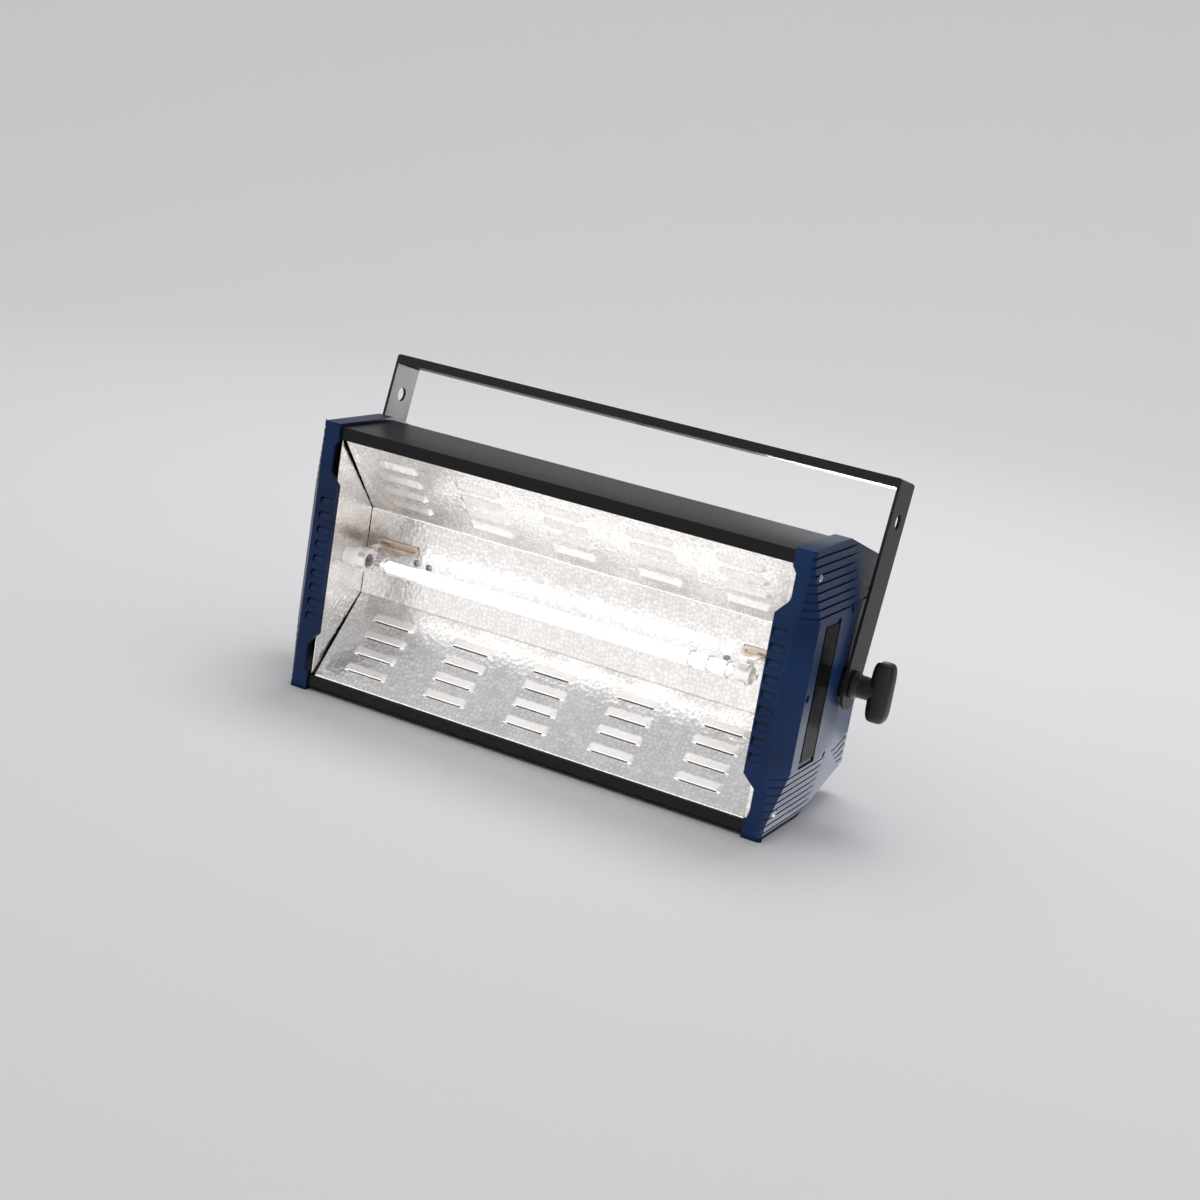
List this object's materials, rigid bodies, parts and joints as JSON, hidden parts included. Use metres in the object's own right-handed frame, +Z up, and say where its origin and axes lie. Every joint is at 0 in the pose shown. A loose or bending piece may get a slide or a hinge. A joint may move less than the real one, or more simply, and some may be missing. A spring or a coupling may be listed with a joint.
{
  "type": "xenon stroboscope",
  "caption": "Mains xenon stroboscope: a long flash lamp in a louvred reflector, in a steel housing with ribbed end caps, hung in a clamping U-shaped yoke.",
  "frame": {"origin": "middle of the base: halfway across the width and the depth, on the plane that the end caps stand on", "axes": "+X along the lamp to the right as seen from in front, +Y to the back, away from the reflector's mouth, +Z up"},
  "size_m": [0.521, 0.1802, 0.2695],
  "materials": {
    "blue_abs": "moulded, fine satin grain",
    "black_steel": "satin black powder coat",
    "yoke_steel": "semi-matt black powder coat",
    "hammered_aluminium": "bright hammered reflector sheet",
    "quartz_glass": "clear fused quartz",
    "lamp_ceramic": "white unglazed ceramic",
    "insulator_ceramic": "tan steatite ceramic",
    "tungsten": "sintered tungsten",
    "spring_steel": "nickel-plated spring strip",
    "zinc_screws": "bright zinc plate",
    "black_plastic": "glass-filled nylon, satin",
    "badge_plate": "bare gloss dark plate",
    "control_metal": "pressed steel case",
    "circuit_board": "green solder mask",
    "capacitor_can": "sleeved aluminium can",
    "copper_winding": "enamelled copper wire",
    "bare_aluminium": "extruded, unpainted",
    "potting_resin": "potted resin block"
  },
  "bodies": {
    "housing": {"board_standoffs": "zinc_screws", "bottom_cover": "black_steel", "control_board": "circuit_board", "cord_gland": "black_plastic", "fan_frame": "black_plastic", "fan_screws": "zinc_screws", "flash_capacitors": "capacitor_can", "fuse_holder": "black_plastic", "heatsink": "bare_aluminium", "lamp_tube": "quartz_glass", "left_badge_plate": "badge_plate", "left_cap_screws": "zinc_screws", "left_electrode": "tungsten", "left_end_cap": "blue_abs", "left_insulator": "insulator_ceramic", "left_lamp_cap": "lamp_ceramic", "left_lamp_holder": "spring_steel", "left_pivot_nut": "zinc_screws", "left_pivot_washer": "black_plastic", "left_reflector_end": "hammered_aluminium", "left_side_frame": "black_steel", "level_control": "control_metal", "mains_choke": "copper_winding", "power_board": "circuit_board", "rate_control": "control_metal", "rear_panel": "black_steel", "reflector_back": "hammered_aluminium", "reflector_bottom": "hammered_aluminium", "reflector_top": "hammered_aluminium", "remote_in_socket": "black_plastic", "remote_out_socket": "black_plastic", "right_badge_plate": "badge_plate", "right_cap_screws": "zinc_screws", "right_electrode": "tungsten", "right_end_cap": "blue_abs", "right_insulator": "insulator_ceramic", "right_lamp_cap": "lamp_ceramic", "right_lamp_holder": "spring_steel", "right_pivot_nut": "zinc_screws", "right_pivot_washer": "black_plastic", "right_reflector_end": "hammered_aluminium", "right_side_frame": "black_steel", "top_cover": "black_steel", "trigger_board": "circuit_board", "trigger_coil": "potting_resin", "trigger_wire": "spring_steel"},
    "yoke": {"yoke": "yoke_steel"},
    "right_knob": {"right_clamp_knob": "black_plastic", "right_clamp_stud": "zinc_screws"},
    "left_knob": {"left_clamp_knob": "black_plastic", "left_clamp_stud": "zinc_screws"},
    "fan": {"fan_rotor": "black_plastic"},
    "rate_dial": {"rate_knob": "black_plastic"},
    "level_dial": {"level_knob": "black_plastic"},
    "fuse_plug": {"fuse_cap": "black_plastic"}
  },
  "joints": [
    {"name": "yoke_tilt", "type": "hinge", "parent": "housing", "child": "yoke", "pos_m": [0, 0.01285, 0.109], "axis": [1, 0, 0], "range_deg": [-167, 193]},
    {"name": "right_knob_turn", "type": "hinge", "parent": "housing", "child": "right_knob", "pos_m": [0.229, 0.01285, 0.109], "axis": [1, 0, 0], "range_deg": [0, 450]},
    {"name": "left_knob_turn", "type": "hinge", "parent": "housing", "child": "left_knob", "pos_m": [-0.229, 0.01285, 0.109], "axis": [-1, 0, 0], "range_deg": [0, 450]},
    {"name": "fan_spin", "type": "hinge", "parent": "housing", "child": "fan", "pos_m": [0.062, 0.05715, 0.112], "axis": [0, 1, 0], "continuous": true},
    {"name": "rate_turn", "type": "hinge", "parent": "housing", "child": "rate_dial", "pos_m": [-0.168, 0.07215, 0.146], "axis": [0, 1, 0], "range_deg": [-150, 150]},
    {"name": "level_turn", "type": "hinge", "parent": "housing", "child": "level_dial", "pos_m": [-0.124, 0.07215, 0.146], "axis": [0, 1, 0], "range_deg": [-150, 150]},
    {"name": "fuse_turn", "type": "hinge", "parent": "housing", "child": "fuse_plug", "pos_m": [-0.168, 0.07215, 0.058], "axis": [0, 1, 0], "range_deg": [0, 90]}
  ]
}
